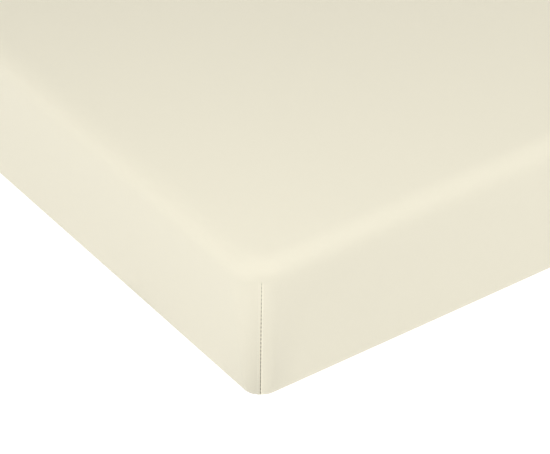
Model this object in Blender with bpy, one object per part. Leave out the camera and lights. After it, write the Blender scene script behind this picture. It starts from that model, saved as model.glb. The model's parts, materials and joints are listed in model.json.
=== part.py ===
"""Fitted sheet on a double-bed mattress.

The sheet is one panel of cloth, seamed at its four corners, that is stretched over
the top and sides of the mattress and turned under its lower edge, where it ends in
a hem. The mattress is a plain block with a crowned top, round edges and
sides that lean in to the foot.

Metres, +Z up, +Y along the mattress. The origin is on the floor below the centre.
"""

import math

import bpy
from mathutils import Vector

# The dressed mattress
WIDTH = 1.40
LENGTH = 2.00
HEIGHT = 0.25
CROWN = 0.003  # how much higher the middle of the top is than its rim
CROWN_REACH = 0.48  # inset at which the top is level
BELLY = 0.001  # how far the middle of a side stands out
DRAW_IN = 0.016  # how far the hem draws in the foot of the sides

# The cloth
CLOTH = 0.002  # thickness
HEM = 0.003  # thickness of the turned hem
HEM_WIDTH = 0.012
HEM_RAMP = 0.001  # width over which the cloth thickens to the hem
TOP_BEND = 0.080  # length of cloth that bends over the top edge
FOOT_ROLL = 0.018  # radius under the lower edge
TUCK = 0.088  # inset of the hem's edge, half-way along a side

# The corner seams: each draws the cloth in along a narrow crease in a wide soft trough,
# and runs beside the middle of its corner, towards the head or the foot of the bed
CREASE_DEPTH = 0.0012
CREASE_HALF_WIDTH = 0.0020
TROUGH_DEPTH = 0.0009
TROUGH_HALF_WIDTH = 0.0100
SEAM_START = 0.027  # below the top, where the seam begins
SEAM_RAMP = 0.060  # height over which it reaches its full depth
BESIDE_AT_TOP = 0.0098  # from the middle of the corner to the seam
BESIDE_AT_FOOT = 0.0057

# The mattress, inside the cloth
GAP = 0.0009  # between the flat faces
BEND_EASE = 0.004  # extra length of its top bend, which keeps the cloth clear of it
EDGE_EASE = 0.004  # extra radius on its lower edge
CORNER_EASE = 0.008
UNDERSIDE = 0.0036  # height of its lower face, just over the hem

# Radius of the corners, seen from above, at each height of the cloth
CORNER_AT_CENTRE = 0.130
CORNER_AT_RIM = 0.034
CORNER_AT_ROLL = 0.060
CORNER_AT_FOOT = 0.030
CORNER_UNDER = 0.024
CORNER_AT_HEM = 0.260
HALF_CORNER = 45  # degrees

# Points round a corner, in degrees from its seam, or from the middle of a plain corner
SEAM_COLUMNS = (-45, -29, -17, -9.5, -5.2, -2.6, -1.2, 0, 1.2, 2.6, 5.2, 9.5, 17, 29, 45)
PLAIN_COLUMNS = (-45, -33, -20, -7, 7, 20, 33, 45)
SIDE_COLUMNS = 5  # stretches along each straight side

TOP_RINGS = (1.0, 0.62, 0.34, 0.15)  # shares of the way from the rim to the level middle
TOP_BEND_SHARES = (0.0, 0.2, 0.3, 0.38, 0.44, 0.5, 0.56, 0.62, 0.7, 0.8, 1.0)
BEND_STEPS = 400  # small steps that are added up to work out the top bend
SIDE_STEPS = 6
FOOT_ROLL_STEPS = 5
SHARP_EDGE = 50  # degrees; smaller turns from face to face are shaded smooth


def blend(start, end, share):
    return start + (end - start) * share


def seam_angle(height, radius):
    """Degrees from the middle of a corner to its seam."""
    return math.degrees(blend(BESIDE_AT_FOOT, BESIDE_AT_TOP, height / HEIGHT) / radius)


def seam_draw(height, aside):
    """How far the seam draws the cloth in, at a distance to its side."""
    below = HEIGHT - SEAM_START - height
    fade = min(max(below / SEAM_RAMP, 0.0), 1.0)
    fade = fade * fade * (3 - 2 * fade)
    crease = CREASE_DEPTH * math.exp(-((aside / CREASE_HALF_WIDTH) ** 2))
    trough = TROUGH_DEPTH * math.exp(-((aside / TROUGH_HALF_WIDTH) ** 2))
    return fade * (crease + trough)


def ring(inset, height, radius, columns, seamed):
    """One closed round-cornered outline, run anticlockwise as seen from above."""
    middle_x = WIDTH / 2 - inset - radius
    middle_y = LENGTH / 2 - inset - radius
    arcs = []
    for quarter in range(4):
        turn = math.radians(45 + 90 * quarter)
        middle = Vector((
            math.copysign(middle_x, math.cos(turn)),
            math.copysign(middle_y, math.sin(turn)),
            height,
        ))
        # Head and foot lie anticlockwise of every second corner, and clockwise of the others.
        seam = seam_angle(height, radius) * (-1) ** quarter if seamed else 0.0
        arc = []
        for column in columns:
            # The ends of the arc stay in place; the rest moves with the seam.
            angle = column + seam * (1 - abs(column) / HALF_CORNER)
            aside = math.radians(angle - seam) * radius
            reach = radius - (seam_draw(height, aside) if seamed else 0.0)
            heading = turn + math.radians(angle)
            arc.append(middle + reach * Vector((math.cos(heading), math.sin(heading), 0)))
        arcs.append(arc)
    points = []
    for arc, following in zip(arcs, arcs[1:] + arcs[:1]):
        points += arc
        for step in range(1, SIDE_COLUMNS):
            points.append(arc[-1].lerp(following[0], step / SIDE_COLUMNS))
    return points


def crown_rows(top, rim_inset, rim_corner, centre_corner):
    """Sections of the top, from the level middle out: a parabola that falls to the rim."""
    rows = []
    for share in TOP_RINGS:
        rows.append((
            blend(rim_inset, CROWN_REACH, share),
            top - CROWN * (1 - share) ** 2,
            blend(rim_corner, centre_corner, share),
        ))
    return rows


def bend_path(length):
    """How far out and down the top bend goes, at each share of its length.

    Its tilt grows from level to upright as the share less the sine of the share, so it
    bends most in the middle. Small steps along the tilt are added up.
    """
    out, down = [0.0], [0.0]
    for step in range(BEND_STEPS):
        share = (step + 0.5) / BEND_STEPS
        tilt = math.pi / 2 * (share - math.sin(2 * math.pi * share) / (2 * math.pi))
        out.append(out[-1] + math.cos(tilt) * length / BEND_STEPS)
        down.append(down[-1] + math.sin(tilt) * length / BEND_STEPS)
    places = [round(share * BEND_STEPS) for share in TOP_BEND_SHARES]
    return [out[place] for place in places], [down[place] for place in places]


def side_rows(inset, top, bottom, corners):
    """Sections of a side between its bends: it leans in to the foot, with a slight belly."""
    rows = []
    for step in range(1, SIDE_STEPS):
        share = step / SIDE_STEPS
        rows.append((
            inset + DRAW_IN * share - BELLY * (1 - (2 * share - 1) ** 2),
            blend(top, bottom, share),
            blend(*corners, share),
        ))
    return rows


def foot_rows(under, bottom, radius, lean, corners):
    """Sections of the arc that turns the leaning side level, under the lower edge."""
    rows = []
    for step in range(FOOT_ROLL_STEPS + 1):
        share = step / FOOT_ROLL_STEPS
        angle = blend(lean, math.pi / 2, share)
        rows.append((
            under - radius * math.cos(angle),
            bottom + radius * (1 - math.sin(angle)),
            blend(*corners, share),
        ))
    return rows


def foot_turn(inset, drop, radius):
    """Lean of the foot of a side, and the inset at which it has turned level."""
    lean = math.atan2(DRAW_IN + 4 * BELLY, drop)
    return lean, inset + DRAW_IN + radius * math.cos(lean)


def shell(top, bottom, inset, bend, foot_roll, corner_ease):
    """Sections from the middle of the top to the foot of the sides."""
    out, down = bend_path(bend)
    side_top = top - CROWN - down[-1]
    lean, under = foot_turn(inset, side_top - bottom - foot_roll, foot_roll)
    foot_top = bottom + foot_roll * (1 - math.sin(lean))
    at_rim, at_roll, at_foot, at_under = (
        corner + corner_ease
        for corner in (CORNER_AT_RIM, CORNER_AT_ROLL, CORNER_AT_FOOT, CORNER_UNDER)
    )
    rim_inset = inset + out[-1]
    bend_rows = [
        (rim_inset - across, top - CROWN - fall, blend(at_rim, at_roll, share))
        for across, fall, share in zip(out, down, TOP_BEND_SHARES)
    ]
    return (
        crown_rows(top, rim_inset, at_rim, CORNER_AT_CENTRE)
        + bend_rows
        + side_rows(inset, side_top, foot_top, (at_roll, at_foot))
        + foot_rows(under, bottom, foot_roll, lean, (at_foot, at_under))
    )


def tuck_rows():
    """Sections of the flat band under the mattress, out to the hem's edge."""
    _, down = bend_path(TOP_BEND)
    _, start = foot_turn(0.0, HEIGHT - CROWN - down[-1] - FOOT_ROLL, FOOT_ROLL)
    hem_start = TUCK - HEM_WIDTH
    rows = []
    for inset in (blend(start, hem_start, 0.5), hem_start - HEM_RAMP, hem_start, TUCK):
        share = (inset - start) / (TUCK - start)
        rows.append((inset, 0.0, blend(CORNER_UNDER, CORNER_AT_HEM, share)))
    return rows


def skin(name, rings, close_end):
    """A mesh object through the rings, capped on the first one and, if asked, on the last."""
    count = len(rings[0])
    points = [point for outline in rings for point in outline]
    faces = [tuple(range(count))]
    for row in range(len(rings) - 1):
        for column in range(count):
            following = (column + 1) % count
            upper, lower = row * count, (row + 1) * count
            faces.append((upper + column, lower + column, lower + following, upper + following))
    if close_end:
        last = (len(rings) - 1) * count
        faces.append(tuple(range(last + count - 1, last - 1, -1)))
    mesh = bpy.data.meshes.new(name)
    mesh.from_pydata(points, [], faces)
    mesh.shade_smooth()
    mesh.set_sharp_from_angle(angle=math.radians(SHARP_EDGE))
    placed = bpy.data.objects.new(name, mesh)
    bpy.context.collection.objects.link(placed)
    return placed


def finish(name, colour, roughness):
    material = bpy.data.materials.new(name)
    material.use_nodes = True
    shader = material.node_tree.nodes["Principled BSDF"]
    shader.inputs["Base Color"].default_value = (*colour, 1.0)
    shader.inputs["Roughness"].default_value = roughness
    shader.inputs["Metallic"].default_value = 0.0
    return material


def make_sheet():
    """The cloth: its outer face through all sections, thickened inwards."""
    rows = shell(HEIGHT, 0.0, 0.0, TOP_BEND, FOOT_ROLL, 0.0) + tuck_rows()
    rings = [ring(*row, SEAM_COLUMNS, seamed=True) for row in rows]
    sheet = skin("sheet", rings, close_end=False)
    hem = sheet.vertex_groups.new(name="hem")
    count = len(rings[0])
    hem.add(list(range((len(rings) - 2) * count, len(rings) * count)), 1.0, "REPLACE")
    thicken = sheet.modifiers.new("thickness", "SOLIDIFY")
    thicken.thickness = HEM
    thicken.offset = -1.0
    thicken.use_even_offset = True
    thicken.vertex_group = hem.name
    thicken.thickness_vertex_group = CLOTH / HEM
    cotton = finish("ivory_cotton", colour=(0.797, 0.755, 0.611), roughness=0.85)
    sheet.data.materials.append(cotton)
    return sheet


def make_mattress():
    """The block that the cloth covers, clear of it on every side."""
    clearance = CLOTH + GAP
    rows = shell(
        HEIGHT - clearance,
        UNDERSIDE,
        clearance,
        TOP_BEND + BEND_EASE,
        FOOT_ROLL - CLOTH + EDGE_EASE,
        CORNER_EASE,
    )
    rings = [ring(*row, PLAIN_COLUMNS, seamed=False) for row in rows]
    mattress = skin("mattress", rings, close_end=True)
    ticking = finish("white_ticking", colour=(0.80, 0.79, 0.76), roughness=0.9)
    mattress.data.materials.append(ticking)
    return mattress


def main():
    for old in list(bpy.data.objects):
        bpy.data.objects.remove(old)
    make_sheet()
    make_mattress()


main()
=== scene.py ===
"""Fitted sheet on a mattress: the woven cloth, its sewing, the mattress and the studio.

The dressed mattress stands on the floor at the origin, its length along Y. All new
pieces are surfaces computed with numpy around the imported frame. Metres, +Z up.
"""

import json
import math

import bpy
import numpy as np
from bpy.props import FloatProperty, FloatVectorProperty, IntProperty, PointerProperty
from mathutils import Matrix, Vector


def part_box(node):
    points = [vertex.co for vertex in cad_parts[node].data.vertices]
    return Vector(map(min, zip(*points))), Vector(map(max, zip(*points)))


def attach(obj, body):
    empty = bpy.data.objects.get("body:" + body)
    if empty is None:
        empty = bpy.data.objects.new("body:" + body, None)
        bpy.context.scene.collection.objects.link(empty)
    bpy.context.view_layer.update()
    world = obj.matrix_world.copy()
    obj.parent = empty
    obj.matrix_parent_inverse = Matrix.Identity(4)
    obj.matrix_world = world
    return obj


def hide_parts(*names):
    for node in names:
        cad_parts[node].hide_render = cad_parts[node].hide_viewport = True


bl_info = {
    "name": "Fitted Sheet",
    "version": (1, 0, 0),
    "blender": (4, 5, 0),
    "location": "View3D > Sidebar > Fitted Sheet",
    "description": "Makes a fitted sheet, its sewing, the mattress in it and a studio",
    "category": "Object",
}

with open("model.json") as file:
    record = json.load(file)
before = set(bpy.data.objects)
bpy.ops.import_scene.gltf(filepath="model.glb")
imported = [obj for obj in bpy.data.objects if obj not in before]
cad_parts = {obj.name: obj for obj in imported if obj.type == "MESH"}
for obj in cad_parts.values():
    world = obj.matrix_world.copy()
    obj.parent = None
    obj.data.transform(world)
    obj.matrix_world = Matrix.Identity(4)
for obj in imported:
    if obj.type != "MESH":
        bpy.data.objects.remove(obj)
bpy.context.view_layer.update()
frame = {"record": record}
SHEET_LOW, SHEET_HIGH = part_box("sheet")
BLOCK_LOW, BLOCK_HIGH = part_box("mattress")
MATERIAL_COLOURS = {m["slot"]: m["base_color"][:3] for m in frame["record"]["materials"]}

QUARTERS = 4
QUARTER_TURN = 90.0  # degrees
CORNER_SPREAD = QUARTER_TURN / 2  # degrees of a corner on each side of its middle
# The way round from a corner's middle to its seam, towards the head or the foot
SEAM_WAY = np.array([1.0, -1.0, 1.0, -1.0])
CLOTH_MAP = "cloth"
SEAM_SHADE = "seam_shade"


# ---------------------------------------------------------------- fine measures, in metres

# Grids: degrees from a seam to the columns beside it and to those further away, then the
# steps down the top, the top bend, the side, the foot roll and the tuck of each face
FINE_ANGLES = (0, 0.25, 0.5, 0.75, 1.05, 1.4, 1.9, 2.6, 3.5, 4.7, 6.2, 8, 10.5, 13.5, 17, 21)
WIDE_ANGLES = np.linspace(25, CORNER_SPREAD, 6)
OUTER_STEPS = (24, 34, 150, 16, 16)
INNER_STEPS = (8, 10, 16, 8, 16)
BLOCK_STEPS = (10, 14, 12, 12)
CLOTH_STRAIGHT = 32  # steps along each straight of the cloth
BLOCK_ARC, BLOCK_STRAIGHT = 19, 16  # columns round a mattress corner, steps along a straight
HEM_ARC, HEM_STRAIGHT = 120, 600  # the same for the path of the hem's stitches
GROOVE_ROWS = np.linspace(-2.0, 2.0, 9)  # rows across the hem's groove, in its half widths
HEM_STEP = 0.0015  # width over which the cloth thickens into its hem

# Seams
OPENING = 0.010  # length over which a seam opens below its start
CREASE_START = 0.5  # share of the crease's depth at its start
CREASE_UNDER = 0.35  # and where the cloth is tucked under
TROUGH_FULL = 0.45  # share of the way down from which the trough has its whole depth
FOLD_START = 0.4  # share of the folded edges' height at their start
FOLD_EDGE = 1.6  # where they begin beside the crease, in its half widths
FOLD_RISE, FOLD_FALL = 0.0006, 0.0014  # widths of their two slopes on the folded side
PLAIN_RISE = 0.0004  # width of the near slope on the other side
PLAIN_TOP, PLAIN_END = 0.0014, 0.0034  # where the far slope there begins and ends
FADE_BEFORE, FADE_AFTER = 0.004, 0.02  # relief fades from before to after the tuck begins

# Waves of the taut cloth: share, radians for each metre of x, of y and of z, and phase
SWAY_WAVES = (
    (1.0, 7.1, 2.3, 4.0, 0.4),
    (1.0, -3.7, 9.3, 6.1, 1.9),
    (0.6, 15.7, -8.9, 11.0, 4.1),
    (0.5, 6.3, 19.1, -9.0, 2.7),
)
PUCKERS = 17.0  # turn of the puckers' waves for each turn round the corner
PUCKER_SHIFT = 1.3  # phase by which they differ from corner to corner
PUCKER_STRAY, PUCKER_DRIFT = 2.0, 0.09  # height and rate of the sine that makes them uneven
PUCKER_REACH = 0.25  # share of a straight over which they fade

# Stitches. Radii and heights of a thread's rings are in radii of the thread
FIRST_STITCH = 0.004  # from a seam's start to its first stitch
BRIDGED = 0.110  # length of the crease above its foot that threads bridge
BRIDGE_HALF = 1.5  # half widths of the crease that they reach to each side
BRIDGE_SLANT = 0.0008  # how far they run down as they cross
THREAD_SIDES = 5
THREAD_SHARES = np.array([0.0, 0.28, 0.72, 1.0])  # places of a stitch's rings on its way
THREAD_SWELL = np.array([0.55, 1.0, 1.0, 0.55])  # their radii
THREAD_RISE = np.array([-0.7, 0.35, 0.35, -0.7])  # height of their middles over the cloth
THREAD_SUNK = 0.5  # how far the hem's thread lies under the bottom of its groove
FLOOR_GAP = 0.00002  # least height of a thread over the floor

# Studio
WHITE = (1.0, 1.0, 1.0, 1.0)
FLOOR_REACH, FLOOR_DROP = 80.0, 0.0004  # half width of the floor, and how low it lies
CLIP = (0.1, 200.0)  # nearest and furthest that the camera sees
LAMP_SIZE = 1.0
# Place and target of each soft light, and the spread of its beam in degrees
LAMPS = {
    "key": ((-1.693, -1.361, 2.516), (-0.7, -1.0, 0.25), 180.0),
    "fill": ((1.2, -1.9, 1.4), (0.2, -0.9, 0.2), 180.0),
    "head": ((0.6, 1.15, 2.4), (0.6, 1.15, 0.0), 68.0),
}


# ---------------------------------------------------------------- sizes and colours


def length(name, description, default):
    """A length in metres."""
    return FloatProperty(
        name=name, description=description, default=default, unit="LENGTH", precision=4
    )


def share_of(name, description, default):
    """A share of a whole, most often from 0 to 1."""
    return FloatProperty(name=name, description=description, default=default, subtype="FACTOR")


def colour(name, description, default):
    """A linear colour of three channels from 0 to 1."""
    return FloatVectorProperty(
        name=name,
        description=description,
        default=default,
        subtype="COLOR",
        size=3,
        min=0.0,
        max=1.0,
    )


def pixels(name, description, default, kind=FloatProperty):
    """A number of pixels of the picture."""
    return kind(name=name, description=description, default=default, subtype="PIXEL")


def angle_of(name, description, default):
    """An angle, given in degrees and kept in radians."""
    return FloatProperty(
        name=name, description=description, default=math.radians(default), subtype="ANGLE"
    )


def watts(name, description, default):
    """The power of a lamp."""
    return FloatProperty(name=name, description=description, default=default, unit="POWER")


def light_of(name, description, default):
    """The light that a surface gives off, as a factor of white."""
    return FloatProperty(name=name, description=description, default=default)


class ClothSizes(bpy.types.PropertyGroup):
    """The form in which the cloth is stretched over the mattress"""

    width: length("Width", "Over both long sides", SHEET_HIGH.x - SHEET_LOW.x)
    depth: length("Length", "Over head and foot", SHEET_HIGH.y - SHEET_LOW.y)
    height: length("Height", "From the floor to the middle of the top", SHEET_HIGH.z)
    crown: length("Crown", "Rise of the middle of the top over its rim", 0.003)
    crown_reach: length("Crown reach", "Inset at which the top is level", 0.48)
    belly: length("Belly", "How far the middle of a side stands out", 0.001)
    draw_in: length("Draw in", "How far the hem draws in the foot of the sides", 0.016)
    top_bend: length("Top bend", "Length of cloth that bends over the top edge", 0.080)
    foot_roll: length("Foot roll", "Radius under the lower edge", 0.018)
    tuck: length("Tuck", "Inset of the hem's edge, half-way along a side", 0.088)
    corner_centre: length("Corner, centre", "Corner radius at the level middle", 0.130)
    corner_rim: length("Corner, rim", "Corner radius at the rim of the top", 0.034)
    corner_roll: length("Corner, roll", "Corner radius where the sides begin", 0.060)
    corner_foot: length("Corner, foot", "Corner radius at the foot of the sides", 0.030)
    corner_under: length("Corner, under", "Corner radius where the tuck begins", 0.024)
    corner_hem: length("Corner, hem", "Corner radius of the hem's edge", 0.260)
    thickness: length("Cloth", "Thickness of the cloth", 0.0009)
    hem_thickness: length("Hem", "Thickness of the turned hem", 0.0022)
    hem_width: length("Hem width", "Width of the turned hem", 0.012)
    sway: length("Sway", "How far the taut cloth strays from an even face", 0.00022)
    gather: length("Gather", "Height of the soft puckers under the corners", 0.0009)


class SeamSizes(bpy.types.PropertyGroup):
    """The four upright corner seams"""

    start: length("Start", "Where a seam begins, below the top", 0.027)
    beside_top: length("Beside, top", "From the corner's middle to the seam's start", 0.0102)
    beside_foot: length("Beside, foot", "From the corner's middle to the seam's foot", 0.0050)
    crease_depth: length("Crease depth", "Depth of the sewn line at the foot", 0.0011)
    crease_half: length("Crease half width", "Half width of the sewn line", 0.00048)
    crease_pulse: share_of("Crease pulse", "Sway of that depth from stitch to stitch", 0.8)
    trough_depth: length("Trough depth", "Depth of the soft trough round it", 0.0010)
    trough_half: length("Trough half width", "Half width of the soft trough", 0.0105)
    fold_height: length("Fold height", "Rise of the folded edges inside the seam", 0.00030)
    fold_width: length("Fold width", "Width of the folded edges inside the seam", 0.0050)
    # Painted shade in the sewn line's crease, with darker spots that sway from stitch to stitch
    line_start: share_of("Line, start", "Darkening of the sewn line at its start", 0.36)
    line_foot: share_of("Line, foot", "Darkening of the sewn line at its foot", 0.94)
    line_most: share_of("Line, most", "Most that a spot of the sewn line is darkened", 0.97)
    beat_start: share_of("Beat, start", "Its sway from stitch to stitch, at the start", 0.70)
    beat_foot: share_of("Beat, foot", "Its sway from stitch to stitch, at the foot", 0.95)
    # Painted highlight: on the edges beside the sewn line, and on the cloth by the seam's start
    edge_light: share_of("Edge light", "Lightening of the rubbed edges by the sewn line", 0.14)
    edge_folded: share_of("Edge, folded", "Share of it on the folded side", 0.5)
    edge_place: length("Edge place", "From the sewn line to the middle of an edge", 0.0016)
    edge_half: length("Edge half width", "Half width of an edge", 0.0009)
    start_light: share_of("Start light", "Lightening of the smooth cloth by the start", 0.050)
    start_place: length("Start place", "From the sewn line to the middle of that cloth", 0.0045)
    start_half: length("Start half width", "Half width of that cloth", 0.0105)
    # Painted shade on both sides of the seam, near its foot
    fold_shade: share_of("Fold shade", "Darkening by the foot, on the folded side", 0.17)
    fold_half: length("Fold half width", "Half width of that darker cloth", 0.030)
    plain_shade: share_of("Plain shade", "Darkening by the foot, on the other side", 0.080)
    plain_place: length("Plain place", "From the sewn line to the middle of that shade", 0.026)
    plain_half: length("Plain half width", "Half width of that shade", 0.014)


class SewingSizes(bpy.types.PropertyGroup):
    """Thread of the seams and the hem"""

    thread: length("Thread", "Diameter of the thread", 0.00042)
    pitch: length("Pitch", "From one stitch to the next", 0.00365)
    stitch: length("Stitch", "Length of thread that shows", 0.0023)
    long_stitch: length("Long stitch", "Length of thread that shows by the crease", 0.0029)
    edge_row: length("Edge row", "Row of stitches hard by the crease", 0.0019)
    seam_row: length("Seam row", "Row of stitches beside a seam", 0.0040)
    zigzag: length("Zigzag", "Swing of that row from side to side", 0.0012)
    hem_row: length("Hem row", "Row of stitches from the hem's edge", 0.0095)
    hem_groove: length("Hem groove", "Depth to which that row draws in the cloth", 0.0004)
    groove_half: length("Groove half width", "Half width of that groove", 0.0010)


class MattressSizes(bpy.types.PropertyGroup):
    """The plain mattress that the cloth covers"""

    bend_ease: length("Bend ease", "Extra length of the bend at its top edge", 0.004)
    foot_roll: length("Foot roll", "Radius of its lower edge", 0.020)
    corner_ease: length("Corner ease", "Extra radius on its corners", 0.008)


class Colours(bpy.types.PropertyGroup):
    """Colours and scale of the weaves"""

    cloth: colour("Cloth", "Ivory cotton", MATERIAL_COLOURS["sheet_cotton"])
    thread: colour("Thread", "Sewing thread", (0.90, 0.86, 0.74))
    ticking: colour("Ticking", "Mattress ticking", MATERIAL_COLOURS["mattress_ticking"])
    floor: colour("Floor", "Studio floor", (0.10, 0.10, 0.10))
    weave_pitch: length("Weave pitch", "Two threads of the cloth", 0.00090)
    ticking_pitch: length("Ticking pitch", "One rib of the ticking", 0.0030)


class StudioSizes(bpy.types.PropertyGroup):
    """Camera and lights. The picture is 550 by 454 pixels"""

    picture_width: pixels("Picture width", "From its left to its right", 550, IntProperty)
    picture_height: pixels("Picture height", "From its top to its bottom", 454, IntProperty)
    heading: angle_of("Heading", "Turn of the view from +Y towards +X", 35.55)
    pitch: angle_of("Pitch", "How far the view looks down", 37.32)
    lens: FloatProperty(name="Lens", description="In millimetres", default=363.0, unit="CAMERA")
    distance: length("Distance", "From the camera to the near lower corner", 7.79)
    corner_right: pixels("Corner across", "Where a square lower corner would lie, from the left", 255.50)
    corner_down: pixels("Corner down", "Where a square lower corner would lie, from the top", 406.27)
    dome: light_of("Dome", "Light of the white dome", 0.508)
    floor_glow: light_of("Floor glow", "Light from the floor", 1.170)
    key_power: watts("Key", "Soft light over the near corner", 38.4)
    fill_power: watts("Fill", "Soft light from the right", 11.1)
    head_power: watts("Head", "Soft light over the far end", 2.8)


# ---------------------------------------------------------------- the form of the cloth


def mix(start, end, share):
    """The value at that share of the way from start to end."""
    return start + (end - start) * share


def smoothstep(low, high, value):
    """3t^2 - 2t^3 of the clipped share t of the way from low to high."""
    share = np.clip((value - low) / (high - low), 0.0, 1.0)
    return share * share * (3 - 2 * share)


def bell(aside, place, half):
    """The exponential of minus the square of the distance from place over half."""
    return np.exp(-(((aside - place) / half) ** 2))


def corner_turn(quarter):
    """Angle from +X to the middle of a quarter's corner, in degrees."""
    return CORNER_SPREAD + QUARTER_TURN * quarter


class Form:
    """A round-cornered block as a surface of two parameters.

    The first is the run: the distance along the surface from the middle of the top,
    over the rim, down a side and under. A section through it gives inset, height and
    corner radius at each run. The second is the place round the section: a quarter,
    an angle from the middle of its corner, and a share of the straight that follows.
    """

    STEP = 0.001  # along the run, between the samples that are kept
    SOFTENING = 9  # samples over which joints between the parts of a section are evened
    NORMAL_REACH = 0.0015  # up and down the run, to the points that give a normal
    LEVEL = 0.002  # width of the level underside of a form without a tuck
    TOP, BEND, SIDE, ROLL, UNDER = 400, 200, 200, 90, 60  # samples worked out in each part

    def __init__(
        self, half, top, bottom, inset, sizes, bend, foot_roll, corner_ease=0.0, tucked=True
    ):
        """The parts of the section one after another: a parabola over the top, the bend,
        a straight and a parabola down the side, an arc under the foot, and a level."""
        self.half = half
        out, down = self.bent(bend)
        rim, rim_height = inset + out[-1], top - sizes.crown
        side_height = rim_height - down[-1]
        foot = inset + sizes.draw_in
        # The side leans in by this angle where its foot rolls under. There the belly's
        # parabola slopes by four times its height.
        lean = math.atan2(sizes.draw_in + 4 * sizes.belly, side_height - bottom - foot_roll)
        foot_height = bottom + foot_roll * (1 - math.sin(lean))
        under = foot + foot_roll * math.cos(lean)
        reach = sizes.tuck if tucked else under + self.LEVEL
        fall = np.linspace(1.0, 0.0, self.TOP)
        drop = np.linspace(0.0, 1.0, self.SIDE)
        turn = np.linspace(lean, math.pi / 2, self.ROLL)
        inwards = np.linspace(0.0, 1.0, self.UNDER)
        insets = [
            mix(rim, sizes.crown_reach, fall),
            rim - out,
            inset + sizes.draw_in * drop - sizes.belly * (1 - (2 * drop - 1) ** 2),
            under - foot_roll * np.cos(turn),
            mix(under, reach, inwards),
        ]
        heights = [
            top - sizes.crown * (1 - fall) ** 2,
            rim_height - down,
            mix(side_height, foot_height, drop),
            bottom + foot_roll * (1 - np.sin(turn)),
            np.full(self.UNDER, bottom),
        ]
        corners = [
            mix(sizes.corner_rim, sizes.corner_centre, fall),
            mix(sizes.corner_rim, sizes.corner_roll, np.linspace(0, 1, len(out))),
            mix(sizes.corner_roll, sizes.corner_foot, drop),
            mix(sizes.corner_foot, sizes.corner_under, np.linspace(0, 1, self.ROLL)),
            mix(sizes.corner_under, sizes.corner_hem, inwards * tucked),
        ]
        inset, height, corner = (np.concatenate(part) for part in (insets, heights, corners))
        run = np.concatenate(([0.0], np.cumsum(np.hypot(np.diff(inset), np.diff(height)))))
        ends = run[np.cumsum([len(part) for part in insets]) - 1]
        self.rim_run, self.side_run, self.foot_run, self.under_run = (
            float(end) for end in ends[:4]
        )
        self.run = np.arange(0.0, run[-1], self.STEP)
        self.inset = self.even(np.interp(self.run, run, inset))
        self.height = self.even(np.interp(self.run, run, height))
        self.corner = self.even(np.interp(self.run, run, corner + corner_ease))
        self.end_run = float(self.run[-1])

    @classmethod
    def bent(cls, bend):
        """How far out and down a bend goes: the tilt grows from level to upright as the
        share of its length less the sine of that share, which bends the middle most."""
        share = (np.arange(cls.BEND) + 0.5) / cls.BEND
        tilt = math.pi / 2 * (share - np.sin(2 * math.pi * share) / (2 * math.pi))
        out = np.concatenate(([0.0], np.cumsum(np.cos(tilt)))) * bend / cls.BEND
        down = np.concatenate(([0.0], np.cumsum(np.sin(tilt)))) * bend / cls.BEND
        return out, down

    def even(self, values):
        """The running mean of the values under a cosine bell, with held ends."""
        weights = np.hanning(self.SOFTENING + 2)[1:-1]
        padded = np.pad(values, self.SOFTENING // 2, mode="reflect", reflect_type="odd")
        return np.convolve(padded, weights / weights.sum(), mode="valid")

    def section(self, run):
        """Inset, height and corner radius at a run, read between the nearest samples."""
        return tuple(
            np.interp(run, self.run, values) for values in (self.inset, self.height, self.corner)
        )

    def corner_point(self, run, quarter, angle):
        """Middle of the corner's arc, plus its radius turned to the angle."""
        inset, height, radius = self.section(run)
        turn = np.radians(corner_turn(quarter))
        heading = turn + np.radians(angle)
        across = np.sign(np.cos(turn)) * (self.half[0] - inset - radius) + radius * np.cos(heading)
        along = np.sign(np.sin(turn)) * (self.half[1] - inset - radius) + radius * np.sin(heading)
        return np.stack(np.broadcast_arrays(across, along, height), axis=-1)

    def point(self, run, quarter, angle, share):
        """The corner's point, moved by the share along the straight to the next corner."""
        here = self.corner_point(run, quarter, angle)
        there = self.corner_point(run, quarter + 1, -CORNER_SPREAD)
        return mix(here, there, np.asarray(share)[..., None])

    def normal(self, run, quarter, angle, share):
        """Cross product of the steps down the run and round the section. A straight's
        points have the angle of the arc's end, so the way round is right there too."""
        above = self.point(run - self.NORMAL_REACH, quarter, angle, share)
        below = self.point(run + self.NORMAL_REACH, quarter, angle, share)
        turn = np.radians(corner_turn(quarter) + angle)
        around = np.stack(np.broadcast_arrays(-np.sin(turn), np.cos(turn), 0.0), axis=-1)
        outward = np.cross(below - above, around)
        return outward / np.linalg.norm(outward, axis=-1, keepdims=True)


def cloth_form(sizes):
    """The form of the stretched cloth, which stands on the floor and is tucked under."""
    half = (sizes.width / 2, sizes.depth / 2)
    return Form(half, sizes.height, 0.0, 0.0, sizes, sizes.top_bend, sizes.foot_roll)


def seam_columns():
    """Angles from a seam: fine beside it, and wider apart away from it."""
    half = np.concatenate((FINE_ANGLES, WIDE_ANGLES))
    return np.concatenate((-half[:0:-1], half))


def seam_angle(form, seam, run, quarter):
    """Angle of a seam from the corner's middle: its distance beside it, which changes
    evenly down the side, over the corner's radius."""
    beside = np.interp(run, (form.rim_run, form.foot_run), (seam.beside_top, seam.beside_foot))
    return SEAM_WAY[quarter % QUARTERS] * np.degrees(beside / form.section(run)[2])


def around_seam(base, middle):
    """Angles whose base counts from the seam, eased so that the corner's ends stay put."""
    return base + middle * (1 - np.abs(base) / CORNER_SPREAD)


def columns_round(angles, straights):
    """Quarter, angle and share of each column, once round the section."""
    quarter, angle, share = [], [], []
    between = np.arange(1, straights) / straights
    for q in range(QUARTERS):
        quarter.append(np.full(len(angles) + len(between), q))
        angle.append(np.concatenate((angles, np.full(len(between), CORNER_SPREAD))))
        share.append(np.concatenate((np.zeros(len(angles)), between)))
    return tuple(np.concatenate(part) for part in (quarter, angle, share))


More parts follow.
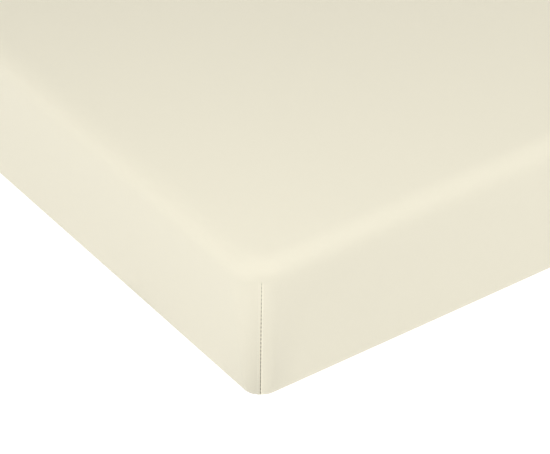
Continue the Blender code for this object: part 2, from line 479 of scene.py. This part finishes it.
def face_rows(form, steps):
    """Runs of a face, spaced evenly within the top, the top bend, the side, the foot
    roll and the tuck, each in its own number of steps, and the run of its end."""
    ends = (0.0, form.rim_run, form.side_run, form.foot_run, form.under_run, form.end_run)
    rows = [
        np.linspace(low, high, count, endpoint=False)
        for low, high, count in zip(ends[:-1], ends[1:], steps)
    ]
    return np.concatenate((*rows, [form.end_run]))


# ---------------------------------------------------------------- seams, waves and puckers


def seam_start(form, sizes, seam):
    """The run at which the cloth lies as low as a seam's start."""
    return float(np.interp(-(sizes.height - seam.start), -form.height, form.run))


def seam_opened(form, sizes, seam, run):
    """How far a seam has opened, and the share of the way down from its start."""
    start = seam_start(form, sizes, seam)
    way_down = np.clip((run - start) / (form.foot_run - start), 0, 1)
    return smoothstep(start, start + OPENING, run), way_down


def stitch_beat(sewing, run):
    """A cosine along the seam, which repeats after every second stitch."""
    return np.cos(np.pi * run / sewing.pitch)


def seam_draw(form, sizes, seam, sewing, run, aside, fine=True):
    """How far a seam draws the cloth in, at a distance to its side, as the sum of three
    parts: a narrow bell for the crease, which pulses with the stitches, a wide bell for
    the trough, and, taken off, the rise of the folded edges."""
    opened, way_down = seam_opened(form, sizes, seam, run)
    pulse = 1.0 + seam.crease_pulse * stitch_beat(sewing, run) * fine
    crease = seam.crease_depth * mix(CREASE_START, 1.0, way_down) * pulse
    crease = crease * bell(aside, 0.0, seam.crease_half)
    sunk = smoothstep(0.0, TROUGH_FULL, way_down)
    trough = seam.trough_depth * sunk * bell(aside, 0.0, seam.trough_half)
    edge = seam.crease_half * FOLD_EDGE
    folded = smoothstep(-seam.fold_width - FOLD_FALL, -seam.fold_width, aside)
    folded = folded * smoothstep(edge, edge + FOLD_RISE, -aside)
    plain = smoothstep(edge, edge + PLAIN_RISE, aside) * smoothstep(PLAIN_END, PLAIN_TOP, aside)
    flat = 1.0 - smoothstep(form.under_run - FADE_BEFORE, form.under_run + FADE_AFTER, run)
    folds = seam.fold_height * mix(FOLD_START, 1.0, sunk) * (folded + plain) * flat
    return opened * (crease * mix(CREASE_UNDER, 1.0, flat) + trough * flat - folds)


def seam_shade(form, sizes, seam, sewing, run, aside):
    """How much darker the cloth is painted by a seam, as a sum of bells: a narrow one of
    painted shade in the sewn line's crease, which grows down the seam and sways with the
    stitches, less one of painted highlight on each edge beside it and one by its start,
    which fades with the cube of the way left, and a wide one of painted shade on each
    side, which grows with the square of the way down."""
    opened, way_down = seam_opened(form, sizes, seam, run)
    depth = mix(seam.line_start, seam.line_foot, way_down)
    beat = 1.0 + mix(seam.beat_start, seam.beat_foot, way_down) * stitch_beat(sewing, run)
    # The line is painted shade in the crease, darker at each second stitch
    line = np.minimum(depth * beat, seam.line_most) * bell(aside, 0.0, seam.crease_half)
    # Painted highlight on the edges beside the sewn line, half as strong on the folded side, and on the
    # cloth by the seam's start
    highlit = np.where(aside < 0, seam.edge_folded, 1.0) * seam.edge_light
    edge = highlit * bell(np.abs(aside), seam.edge_place, seam.edge_half)
    start = seam.start_light * (1 - way_down) ** 3 * bell(aside, seam.start_place, seam.start_half)
    # Painted shade on each side, near the seam's foot
    folded = seam.fold_shade * bell(aside, 0.0, seam.fold_half)
    plain = seam.plain_shade * bell(aside, seam.plain_place, seam.plain_half)
    beside = way_down**2 * np.where(aside < 0, folded, plain)
    return opened * (line - edge - start + beside)


def sway(points, amount):
    """A sum of long sine waves across the place, which never repeats over the top."""
    x, y, z = points[..., 0], points[..., 1], points[..., 2]
    waves = sum(
        share * np.sin(across * x + along * y + up * z + phase)
        for share, across, along, up, phase in SWAY_WAVES
    )
    return amount * waves / sum(wave[0] for wave in SWAY_WAVES)


def gather(form, sizes, run, quarter, angle, share):
    """Soft puckers of the tucked corners: sine waves round the corner that grow to the hem
    and fade along the straights. A second sine of the angle makes them uneven."""
    reach = smoothstep(form.under_run, form.end_run, run)
    away = smoothstep(0.0, PUCKER_REACH, np.minimum(share, 1 - share))
    corner = np.cos(np.radians(angle)) ** 2 * (1 - away)
    uneven = PUCKER_STRAY * np.sin(angle * PUCKER_DRIFT)
    swing = 0.5 + 0.5 * np.sin(np.radians(angle) * PUCKERS + PUCKER_SHIFT * quarter + uneven)
    return sizes.gather * reach * corner * swing


def hem_groove(form, sewing, run):
    """How far the hem's row of stitches draws in the cloth: a bell across the row."""
    return sewing.hem_groove * bell(run - form.end_run, -sewing.hem_row, sewing.groove_half)


def laid_cloth(form, sizes, run, place, draw, groove=0.0):
    """Points of the cloth and their normals: the form's own point, moved along its normal
    by the sway, which fades under the foot, less the draw, and raised by puckers and groove."""
    points = form.point(run, *place)
    normals = form.normal(run, *place)
    lift = sway(points, sizes.sway) * (1 - smoothstep(form.foot_run, form.under_run, run))
    points = points + (lift - draw)[..., None] * normals
    points[..., 2] += gather(form, sizes, run, *place) + groove
    return points, normals


# ---------------------------------------------------------------- meshes


def grid_faces(rows, columns):
    """Quads of a grid that closes round its columns, each run down, along, up and back."""
    row, column = np.meshgrid(np.arange(rows - 1), np.arange(columns), indexing="ij")
    following = (column + 1) % columns
    return np.stack(
        (
            row * columns + column,
            (row + 1) * columns + column,
            (row + 1) * columns + following,
            row * columns + following,
        ),
        axis=-1,
    ).reshape(-1, 4)


def fan_faces(ring_start, columns, pole, flip=False):
    """Triangles from a pole to each stretch of a ring."""
    column = np.arange(columns)
    following = (column + 1) % columns
    fans = np.stack((np.full(columns, pole), ring_start + column, ring_start + following), axis=-1)
    return fans[:, ::-1] if flip else fans


def closed_grid(grid):
    """Points, quads and fans of a grid that closes round its columns. A pole in the mean
    of its first row and one in that of its last close its ends."""
    rows, columns = grid.shape[:2]
    total = rows * columns
    poles = np.array([grid[0].mean(axis=0), grid[-1].mean(axis=0)])
    points = np.concatenate((grid.reshape(-1, 3), poles))
    first = fan_faces(0, columns, total)
    last = fan_faces(total - columns, columns, total + 1, flip=True)
    return points, grid_faces(rows, columns), np.concatenate((first, last))


def new_piece(name, points, faces, material):
    """A smooth mesh object at the origin, in the scene's collection, from arrays of faces."""
    mesh = bpy.data.meshes.new(name)
    mesh.from_pydata(points.tolist(), [], [face for part in faces for face in part.tolist()])
    mesh.shade_smooth()
    mesh.materials.append(material)
    piece = bpy.data.objects.new(name, mesh)
    bpy.context.scene.collection.objects.link(piece)
    return piece


def write_map(mesh, coordinates):
    """Puts one coordinate pair for each face corner into the mesh's UV map, in metres."""
    layer = mesh.uv_layers.new(name=CLOTH_MAP)
    layer.data.foreach_set("uv", coordinates.astype(np.float32).ravel())


def write_shade(mesh, shade):
    """Puts one share for each point into the mesh, by which the cloth is painted darker there: the
    seams' painted shade, less their painted highlight.
    """
    layer = mesh.attributes.new(SEAM_SHADE, "FLOAT", "POINT")
    layer.data.foreach_set("value", shade.astype(np.float32))


def cloth_map(form, run, quarter, angle, share, points, beyond):
    """Where a point lies on the flat cloth.

    On the top this is its place from above. Below the rim it is the run, measured out
    from the rim, and the distance along the side's own panel, arcs unrolled. The seam
    parts two panels, and beyond tells which points lie past it.
    """
    panel = np.where(beyond, quarter + 1, quarter) % QUARTERS
    # Panel 0 is the side that faces +X, 1 +Y, 2 -X and 3 -Y.
    out = np.radians(QUARTER_TURN * panel)
    out_x, out_y = np.cos(out), np.sin(out)
    long_side = panel % 2 == 0
    inset, _, radius = form.section(run)
    arc = np.radians(CORNER_SPREAD + np.where(beyond, -angle, angle))
    unrolled = arc * radius * (share == 0)
    end = np.where(long_side, form.half[1], form.half[0]) - inset - radius
    sign = np.where(panel == quarter, 1.0, -1.0)
    straight = -points[..., 0] * out_y + points[..., 1] * out_x
    along = np.where(share > 0, straight, sign * (end + unrolled))
    rim = np.where(long_side, form.half[0], form.half[1]) - form.section(form.rim_run)[0]
    outward = rim + run - form.rim_run
    weight = smoothstep(form.rim_run, form.side_run, run)
    u = (along * -out_y + outward * out_x) * weight + points[..., 0] * (1 - weight)
    v = (along * out_x + outward * out_y) * weight + points[..., 1] * (1 - weight)
    return np.stack((u, v), axis=-1)


def make_cloth(scene):
    """The outer face of the cloth on a grid of runs and columns, an inner face one
    thickness inside it on fewer rows, a rounded hem edge between them, and a pole in
    the middle of the top on both."""
    sizes, seam, sewing = scene.sheet_cloth, scene.sheet_seams, scene.sheet_sewing
    form = cloth_form(sizes)
    columns = columns_round(seam_columns(), CLOTH_STRAIGHT)
    quarter, base, share = (part[None, :] for part in columns)

    def face(rows, fine):
        """Points, normals, angles and shades of a face, none of it below the floor."""
        run = rows[:, None]
        middle = seam_angle(form, seam, run, quarter)
        angle = np.where(share > 0, CORNER_SPREAD, around_seam(base, middle))
        aside = SEAM_WAY[quarter] * np.radians(angle - middle) * form.section(run)[2]
        draw = seam_draw(form, sizes, seam, sewing, run, aside, fine) * (share == 0)
        shade = seam_shade(form, sizes, seam, sewing, run, aside) * (share == 0) * fine
        groove = hem_groove(form, sewing, run) * fine
        points, normals = laid_cloth(form, sizes, run, (quarter, angle, share), draw, groove)
        under = rows > form.foot_run
        points[under, :, 2] = np.maximum(points[under, :, 2], 0.0)
        return points, normals, angle, shade

    groove_rows = form.end_run - sewing.hem_row + sewing.groove_half * GROOVE_ROWS
    rows = np.union1d(face_rows(form, OUTER_STEPS), groove_rows)
    outer, _, outer_angle, outer_shade = face(rows, True)
    inner_rows = face_rows(form, INNER_STEPS)
    inner, inward, inner_angle, inner_shade = face(inner_rows, False)
    hem_run = form.end_run - sizes.hem_width
    hem = smoothstep(hem_run - HEM_STEP, hem_run, inner_rows)
    thick = mix(sizes.thickness, sizes.hem_thickness, hem)
    inner = inner - thick[:, None, None] * inward
    edge = (outer[-1] + inner[-1]) / 2
    outwards = outer[-1] - outer[-2]
    edge = edge + outwards / np.linalg.norm(outwards, axis=-1, keepdims=True) * thick[-1] / 2

    grid = np.concatenate((outer, edge[None], inner[::-1]))
    points, quads, fans = closed_grid(grid)
    piece = new_piece("fitted_sheet", points, (quads, fans), cotton(scene.sheet_colours))

    run = np.concatenate((rows, [form.end_run], inner_rows[::-1]))[:, None]
    angle = np.concatenate((outer_angle, outer_angle[-1:], inner_angle[::-1]))
    shade = np.concatenate((outer_shade, outer_shade[-1:], inner_shade[::-1]))
    write_shade(piece.data, np.concatenate((shade.ravel(), [0.0, 0.0])))
    # A quad that starts in the seam's own column lies past it, and its first two corners
    # are that column's.
    past = (base > 0) | (share > 0)
    before = cloth_map(form, run, quarter, angle, share, grid, past).reshape(-1, 2)
    after = cloth_map(form, run, quarter, angle, share, grid, past | (base == 0)).reshape(-1, 2)
    in_own_column = np.array([True, True, False, False])[:, None]
    quad_map = np.where(in_own_column, after[quads], before[quads])
    corner_maps = (quad_map.reshape(-1, 2), points[fans, :2].reshape(-1, 2))
    write_map(piece.data, np.concatenate(corner_maps))
    return piece


def thread_mesh(start, end, outward, radius):
    """Each stitch as a low arch of thread: rings at shares of the way between its ends.
    Their middles dip into the cloth at the ends and rise over it between them, and their
    radii shrink at the ends."""
    along = end - start
    way = along / np.linalg.norm(along, axis=-1, keepdims=True)
    aside = np.cross(way, outward)
    rise = THREAD_RISE * radius
    turns = np.radians(np.arange(THREAD_SIDES) * 360.0 / THREAD_SIDES)
    middle = start[:, None] + THREAD_SHARES[None, :, None] * along[:, None]
    middle = middle + rise[None, :, None] * outward[:, None]
    ring = (
        np.cos(turns)[None, None, :, None] * aside[:, None, None]
        + np.sin(turns)[None, None, :, None] * outward[:, None, None]
    )
    points = middle[:, :, None] + radius * THREAD_SWELL[None, :, None, None] * ring
    each = len(THREAD_SHARES) * THREAD_SIDES
    offsets = (np.arange(len(start)) * each)[:, None, None]
    quads = grid_faces(len(THREAD_SHARES), THREAD_SIDES) + offsets
    caps = np.array([range(THREAD_SIDES), range(each - 1, each - 1 - THREAD_SIDES, -1)]) + offsets
    return points.reshape(-1, 3), (quads.reshape(-1, 4), caps.reshape(-1, THREAD_SIDES))


def seam_stitches(form, sizes, seam, sewing):
    """Starts, ends and outward ways of the stitches of all seams: a zigzag on the folded
    side, a straight row on the other, and threads that bridge the crease near the foot.
    Each is placed by its run and its distance to the seam's side."""

    def on_seam(run, quarter, aside):
        """Points and normals of the cloth at a distance to a seam's side."""
        middle = seam_angle(form, seam, run, quarter)
        angle = middle + SEAM_WAY[quarter] * np.degrees(aside / form.section(run)[2])
        draw = seam_draw(form, sizes, seam, sewing, run, aside)
        return laid_cloth(form, sizes, run, (quarter, angle, 0.0 * run), draw)

    first = seam_start(form, sizes, seam) + FIRST_STITCH
    down = np.arange(first, form.end_run - sewing.long_stitch, sewing.pitch)
    swing = np.where(np.arange(len(down)) % 2 == 0, 0.5, -0.5) * sewing.zigzag
    beside = np.full(len(down), sewing.edge_row)
    # The crossing threads lie where the beat is least, so between the darker spots.
    beats = np.ceil((form.foot_run - BRIDGED) / (2 * sewing.pitch)) + 0.5
    low = np.arange(beats * 2 * sewing.pitch, form.under_run, 2 * sewing.pitch)
    across = np.full(len(low), seam.crease_half * BRIDGE_HALF)
    rows = (
        (down, -sewing.seam_row - swing, sewing.stitch, -sewing.seam_row + swing),
        (down, beside, sewing.long_stitch, beside),
        (low, -across, BRIDGE_SLANT, across),
    )
    starts, ends, outs = [], [], []
    for quarter in range(QUARTERS):
        for run, start_aside, length_down, end_aside in rows:
            start, outward = on_seam(run, quarter, start_aside)
            end, _ = on_seam(run + length_down, quarter, end_aside)
            starts.append(start)
            ends.append(end)
            outs.append(outward)
    return tuple(np.concatenate(part) for part in (starts, ends, outs))


def hem_stitches(form, sizes, sewing):
    """Starts, ends and outward ways of the row of stitches round the hem, spaced evenly
    along a closed path just under the bottom of its groove."""
    arc = np.linspace(-CORNER_SPREAD, CORNER_SPREAD, HEM_ARC)
    quarter, angle, share = columns_round(arc, HEM_STRAIGHT)
    run = np.full(len(share), form.end_run - sewing.hem_row)
    path = form.point(run, quarter, angle, share)
    sunk = sewing.thread / 2 * THREAD_SUNK
    path[:, 2] += gather(form, sizes, run, quarter, angle, share) + sewing.hem_groove - sunk
    path = np.concatenate((path, path[:1]))
    walked = np.concatenate(([0.0], np.cumsum(np.linalg.norm(np.diff(path, axis=0), axis=1))))
    count = int(walked[-1] / sewing.pitch)
    at = np.arange(count) * walked[-1] / count

    def along(distance):
        """Points of the path at distances along it."""
        found = [np.interp(distance % walked[-1], walked, path[:, axis]) for axis in range(3)]
        return np.stack(found, axis=-1)

    return along(at), along(at + sewing.stitch), np.tile([0.0, 0.0, -1.0], (count, 1))


def make_sewing(scene):
    """The stitches of the seams and of the hem, each a low arch of thread."""
    sizes, seam, sewing = scene.sheet_cloth, scene.sheet_seams, scene.sheet_sewing
    form = cloth_form(sizes)
    seams = seam_stitches(form, sizes, seam, sewing)
    hem = hem_stitches(form, sizes, sewing)
    stitches = (np.concatenate(parts) for parts in zip(seams, hem))
    points, faces = thread_mesh(*stitches, sewing.thread / 2)
    points[:, 2] = np.maximum(points[:, 2], FLOOR_GAP)
    return new_piece("sheet_stitches", points, faces, sewing_thread(scene.sheet_colours))


def make_mattress(scene):
    """The block on a grid of runs and columns, closed by a pole above and one below."""
    sizes, own = scene.sheet_cloth, scene.sheet_mattress
    form = Form(
        (sizes.width / 2, sizes.depth / 2),
        BLOCK_HIGH.z,
        BLOCK_LOW.z,
        sizes.width / 2 - BLOCK_HIGH.x,
        sizes,
        sizes.top_bend + own.bend_ease,
        own.foot_roll,
        corner_ease=own.corner_ease,
        tucked=False,
    )
    rows = face_rows(form, BLOCK_STEPS)[:, None]
    arc = np.linspace(-CORNER_SPREAD, CORNER_SPREAD, BLOCK_ARC)
    columns = (part[None, :] for part in columns_round(arc, BLOCK_STRAIGHT))
    points, quads, fans = closed_grid(form.point(rows, *columns))
    return new_piece("mattress_block", points, (quads, fans), ticking(scene.sheet_colours))


# ---------------------------------------------------------------- finishes


class Nodes:
    """Short calls for adding shader nodes to one material."""

    def __init__(self, name):
        self.material = bpy.data.materials.new(name)
        self.material.use_nodes = True
        self.tree = self.material.node_tree
        self.shader = self.tree.nodes["Principled BSDF"]

    def add(self, kind, inputs=None, **settings):
        """A node of a kind, with its settings, and a link or a value on each input."""
        node = self.tree.nodes.new("ShaderNode" + kind)
        for key, value in settings.items():
            setattr(node, key, value)
        for key, value in (inputs or {}).items():
            if isinstance(value, bpy.types.NodeSocket):
                self.tree.links.new(value, node.inputs[key])
            else:
                node.inputs[key].default_value = value
        return node

    def maths(self, operation, first, second=0.0):
        """The result of one operation on two values."""
        return self.add("Math", {0: first, 1: second}, operation=operation).outputs[0]

    def total(self, constant, *terms):
        """Each value times its factor, added up in order, and the constant last."""
        parts = [self.maths("MULTIPLY", value, factor) for value, factor in terms]
        added = parts[0]
        for part in parts[1:]:
            added = self.maths("ADD", added, part)
        return self.maths("ADD", added, constant)

    def noise(self, place, scale, detail=2.0):
        """Soft noise, 0.5 on average, with grains that are one over the scale wide."""
        inputs = {"Vector": place, "Scale": scale, "Detail": detail}
        return self.add("TexNoise", inputs).outputs[0]

    def wave(self, coordinate, pitch):
        """A sine of the coordinate, from -1 to 1, that repeats at the pitch."""
        return self.maths("SINE", self.maths("MULTIPLY", coordinate, 2 * math.pi / pitch))

    def link(self, output, socket):
        """Lets an output drive a socket of the shader."""
        self.tree.links.new(output, self.shader.inputs[socket])

    def colour_by(self, base, tone):
        """Base colour: a colour times the tone."""
        shade = self.add("VectorMath", {0: (*base,), "Scale": tone}, operation="SCALE")
        self.link(shade.outputs[0], "Base Color")

    def bump_by(self, relief, distance, strength):
        """Normals tilted by the relief, one of which is as high as the distance."""
        inputs = {"Height": relief, "Distance": distance, "Strength": strength}
        self.link(self.add("Bump", inputs).outputs[0], "Normal")

    def all_over(self, values):
        """Sets the shader's sockets whose value is the same all over."""
        for socket, value in values.items():
            self.shader.inputs[socket].default_value = value


def cotton(colours):
    """Plain woven cotton on the flat cloth's map. The product of a warp and a weft sine
    lets each rise in turn. Their threads wander and have slubs, which are noise drawn out
    along them. The tone is a sum of weave, slubs and a long mottle, about 1 on average,
    times what the seams' painted shade leaves, which their painted highlight raises."""
    wander_scale, wander_reach = 160.0, 0.00035
    slubs_across, slubs_along = 2200.0, 60.0
    mottle_scale, mottle_detail = 3.2, 3.0
    weave_relief, relief_height = 0.5, 0.00010
    mottle_tone, slub_tone, weave_tone = 0.010, 0.040, 0.020
    least_rough, slub_rough = 0.80, 0.06
    nodes = Nodes("ivory_cotton")
    place = nodes.add("UVMap", uv_map=CLOTH_MAP).outputs[0]
    apart = nodes.add("SeparateXYZ", {0: place})
    wander = nodes.maths("SUBTRACT", nodes.noise(place, wander_scale, 1.0), 0.5)
    wander = nodes.maths("MULTIPLY", wander, wander_reach)
    warp, weft = (
        nodes.wave(nodes.maths("ADD", apart.outputs[axis], wander), colours.weave_pitch)
        for axis in range(2)
    )
    weave = nodes.maths("MULTIPLY", warp, weft)
    warp_slub, weft_slub = (
        nodes.noise(nodes.add("Mapping", {"Vector": place, "Scale": stretch}).outputs[0], 1.0)
        for stretch in ((slubs_across, slubs_along, 1.0), (slubs_along, slubs_across, 1.0))
    )
    slub = nodes.maths("ADD", warp_slub, weft_slub)
    mottle = nodes.noise(nodes.add("TexCoord").outputs["Object"], mottle_scale, mottle_detail)
    # On average the mottle is 0.5, the two slubs 1 together and the weave 0.
    tone = nodes.total(
        1.0 - mottle_tone / 2 - slub_tone,
        (mottle, mottle_tone),
        (slub, slub_tone),
        (weave, weave_tone),
    )
    # The seams' painted shade darkens the tone and their painted highlight lightens it
    darker = nodes.add("Attribute", attribute_name=SEAM_SHADE).outputs["Fac"]
    tone = nodes.maths("MULTIPLY", tone, nodes.maths("SUBTRACT", 1.0, darker))
    nodes.colour_by(colours.cloth, tone)
    relief = nodes.maths("ADD", nodes.maths("MULTIPLY", weave, weave_relief), slub)
    nodes.bump_by(relief, relief_height, 1.0)
    nodes.link(nodes.total(least_rough, (slub, slub_rough)), "Roughness")
    nodes.all_over({"Specular IOR Level": 0.25, "Sheen Weight": 0.12, "Sheen Roughness": 0.5})
    return nodes.material


def sewing_thread(colours):
    """Twisted thread: a fine diagonal rib and a slight change of tone, 1 on average."""
    rib_scale, rib_height, rib_strength = 900.0, 0.00004, 0.5
    mottle_scale, mottle_tone = 400.0, 0.06
    nodes = Nodes("sewing_thread")
    place = nodes.add("TexCoord").outputs["Object"]
    ribs = nodes.add("TexWave", {"Vector": place, "Scale": rib_scale}, bands_direction="DIAGONAL")
    nodes.bump_by(ribs.outputs[1], rib_height, rib_strength)
    mottle = nodes.noise(place, mottle_scale)
    nodes.colour_by(colours.thread, nodes.total(1.0 - mottle_tone / 2, (mottle, mottle_tone)))
    nodes.all_over({"Roughness": 0.6, "Sheen Weight": 0.1})
    return nodes.material


def ticking(colours):
    """White mattress ticking: a fine slanting rib with noise on it, as bump and tone."""
    mottle_scale, rib_relief, relief_tone = 240.0, 0.5, 0.025
    relief_height, relief_strength = 0.0003, 0.6
    nodes = Nodes("white_ticking")
    place = nodes.add("TexCoord").outputs["Object"]
    apart = nodes.add("SeparateXYZ", {0: place})
    slant = nodes.maths("ADD", apart.outputs[0], apart.outputs[1])
    rib = nodes.wave(nodes.maths("ADD", slant, apart.outputs[2]), colours.ticking_pitch)
    mottle = nodes.noise(place, mottle_scale)
    relief = nodes.maths("ADD", nodes.maths("MULTIPLY", rib, rib_relief), mottle)
    nodes.bump_by(relief, relief_height, relief_strength)
    nodes.colour_by(colours.ticking, nodes.total(1.0 - relief_tone, (relief, relief_tone)))
    nodes.all_over({"Roughness": 0.85, "Sheen Weight": 0.1})
    return nodes.material


def pale_floor(colours, glow):
    """A dark floor that glows white, so that it looks white and throws up an even light."""
    nodes = Nodes("pale_floor")
    nodes.all_over({
        "Base Color": (*colours.floor, 1.0),
        "Roughness": 0.9,
        "Emission Color": WHITE,
        "Emission Strength": glow,
    })
    return nodes.material


# ---------------------------------------------------------------- studio


def soft_light(name, power, place, target, spread):
    """A round lamp, unseen by the camera, that faces its target and fades to the side."""
    data = bpy.data.lights.new(name, "AREA")
    data.energy = power
    data.shape = "DISK"
    data.size = LAMP_SIZE
    data.spread = math.radians(spread)
    light = bpy.data.objects.new(name, data)
    light.location = place
    light.rotation_mode = "QUATERNION"
    light.rotation_quaternion = (Vector(target) - Vector(place)).to_track_quat("-Z", "Y")
    light.visible_camera = False
    bpy.context.scene.collection.objects.link(light)


def white_dome(strength):
    """A world that lights by the strength, and that the camera sees as plain white."""
    world = bpy.data.worlds.new("dome")
    world.use_nodes = True
    tree = world.node_tree
    light = tree.nodes["Background"]
    seen = tree.nodes.new("ShaderNodeBackground")
    for node, level in ((light, strength), (seen, 1.0)):
        node.inputs["Color"].default_value = WHITE
        node.inputs["Strength"].default_value = level
    path = tree.nodes.new("ShaderNodeLightPath")
    choice = tree.nodes.new("ShaderNodeMixShader")
    tree.links.new(path.outputs["Is Camera Ray"], choice.inputs[0])
    tree.links.new(light.outputs[0], choice.inputs[1])
    tree.links.new(seen.outputs[0], choice.inputs[2])
    tree.links.new(choice.outputs[0], tree.nodes["World Output"].inputs["Surface"])
    return world


def make_camera(scene):
    """The camera looks along heading and pitch, and stands off from the near lower
    corner along the ray of that corner's pixel."""
    studio, sizes = scene.sheet_studio, scene.sheet_cloth
    heading, pitch = studio.heading, studio.pitch
    forward = Vector((
        math.sin(heading) * math.cos(pitch),
        math.cos(heading) * math.cos(pitch),
        -math.sin(pitch),
    ))
    right = Vector((math.cos(heading), -math.sin(heading), 0.0))
    up = right.cross(forward)
    data = bpy.data.cameras.new("camera")
    data.lens = studio.lens
    focal = data.lens / data.sensor_width * studio.picture_width
    ray = (
        right * (studio.corner_right - studio.picture_width / 2)
        - up * (studio.corner_down - studio.picture_height / 2)
        + forward * focal
    ).normalized()
    corner = Vector((sizes.draw_in - sizes.width / 2, sizes.draw_in - sizes.depth / 2, 0.0))
    camera = bpy.data.objects.new("camera", data)
    camera.matrix_world = Matrix.Translation(corner - ray * studio.distance) @ Matrix(
        (right, up, -forward)
    ).transposed().to_4x4()
    data.clip_start, data.clip_end = CLIP
    scene.collection.objects.link(camera)
    scene.camera = camera


def make_studio(scene):
    """A wide floor just under the cloth, a white dome, and three soft lights: one over the
    near corner, one to its right and one over the far end."""
    studio = scene.sheet_studio
    corners = np.array([[-1.0, -1.0, 0.0], [1.0, -1.0, 0.0], [1.0, 1.0, 0.0], [-1.0, 1.0, 0.0]])
    corners = corners * FLOOR_REACH
    corners[:, 2] = -FLOOR_DROP
    white = pale_floor(scene.sheet_colours, studio.floor_glow)
    floor = new_piece("floor", corners, (np.array([[0, 1, 2, 3]]),), white)
    scene.world = white_dome(studio.dome)
    for name, (place, target, spread) in LAMPS.items():
        soft_light(name, getattr(studio, name + "_power"), place, target, spread)
    scene.view_settings.view_transform = "Standard"
    make_camera(scene)


# ---------------------------------------------------------------- operators


class SHEET_OT_cloth(bpy.types.Operator):
    """Make the stretched cloth of the fitted sheet"""

    bl_idname = "fitted_sheet.cloth"
    bl_label = "Cloth"

    def execute(self, context):
        piece = make_cloth(context.scene)
        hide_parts("sheet")
        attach(piece, "root")
        return {"FINISHED"}


class SHEET_OT_sewing(bpy.types.Operator):
    """Make the stitches of the corner seams and the hem"""

    bl_idname = "fitted_sheet.sewing"
    bl_label = "Sewing"

    def execute(self, context):
        piece = make_sewing(context.scene)
        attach(piece, "root")
        return {"FINISHED"}


class SHEET_OT_mattress(bpy.types.Operator):
    """Make the plain mattress that the sheet fits over"""

    bl_idname = "fitted_sheet.mattress"
    bl_label = "Mattress"

    def execute(self, context):
        piece = make_mattress(context.scene)
        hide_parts("mattress")
        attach(piece, "root")
        return {"FINISHED"}


class SHEET_OT_declare(bpy.types.Operator):
    bl_idname = "fitted_sheet.declare"
    bl_label = "Cut size"

    def execute(self, context):
        return {"FINISHED"}


class SHEET_OT_studio(bpy.types.Operator):
    """Set up the floor, the lights and the camera"""

    bl_idname = "fitted_sheet.studio"
    bl_label = "Studio"

    def execute(self, context):
        make_studio(context.scene)
        return {"FINISHED"}


class SHEET_PT_panel(bpy.types.Panel):
    """Lists the sizes, colours and operators"""

    bl_idname = "SHEET_PT_panel"
    bl_label = "Fitted Sheet"
    bl_space_type = "VIEW_3D"
    bl_region_type = "UI"
    bl_category = "Fitted Sheet"

    def draw(self, context):
        for group in GROUPS:
            settings = getattr(context.scene, group)
            box = self.layout.box()
            for name in settings.bl_rna.properties.keys():
                if name not in {"rna_type", "name"}:
                    box.prop(settings, name)
        for operator in OPERATORS:
            self.layout.operator(operator.bl_idname)


GROUPS = {
    "sheet_cloth": ClothSizes,
    "sheet_seams": SeamSizes,
    "sheet_sewing": SewingSizes,
    "sheet_mattress": MattressSizes,
    "sheet_colours": Colours,
    "sheet_studio": StudioSizes,
}
OPERATORS = (SHEET_OT_mattress, SHEET_OT_cloth, SHEET_OT_sewing, SHEET_OT_declare, SHEET_OT_studio)


def register():
    """Registers the sizes, the operators and the panel."""
    for group in GROUPS.values():
        bpy.utils.register_class(group)
    for name, group in GROUPS.items():
        setattr(bpy.types.Scene, name, PointerProperty(type=group))
    for operator in OPERATORS:
        bpy.utils.register_class(operator)
    bpy.utils.register_class(SHEET_PT_panel)


def unregister():
    """Takes them off again, in the opposite order."""
    bpy.utils.unregister_class(SHEET_PT_panel)
    for operator in reversed(OPERATORS):
        bpy.utils.unregister_class(operator)
    for name, group in reversed(GROUPS.items()):
        delattr(bpy.types.Scene, name)
        bpy.utils.unregister_class(group)


def main():
    """Makes every piece and the studio."""
    register()
    bpy.ops.fitted_sheet.mattress()
    bpy.ops.fitted_sheet.cloth()
    bpy.ops.fitted_sheet.sewing()
    bpy.ops.fitted_sheet.declare()
    bpy.ops.fitted_sheet.studio()


if __name__ == "__main__":
    main()
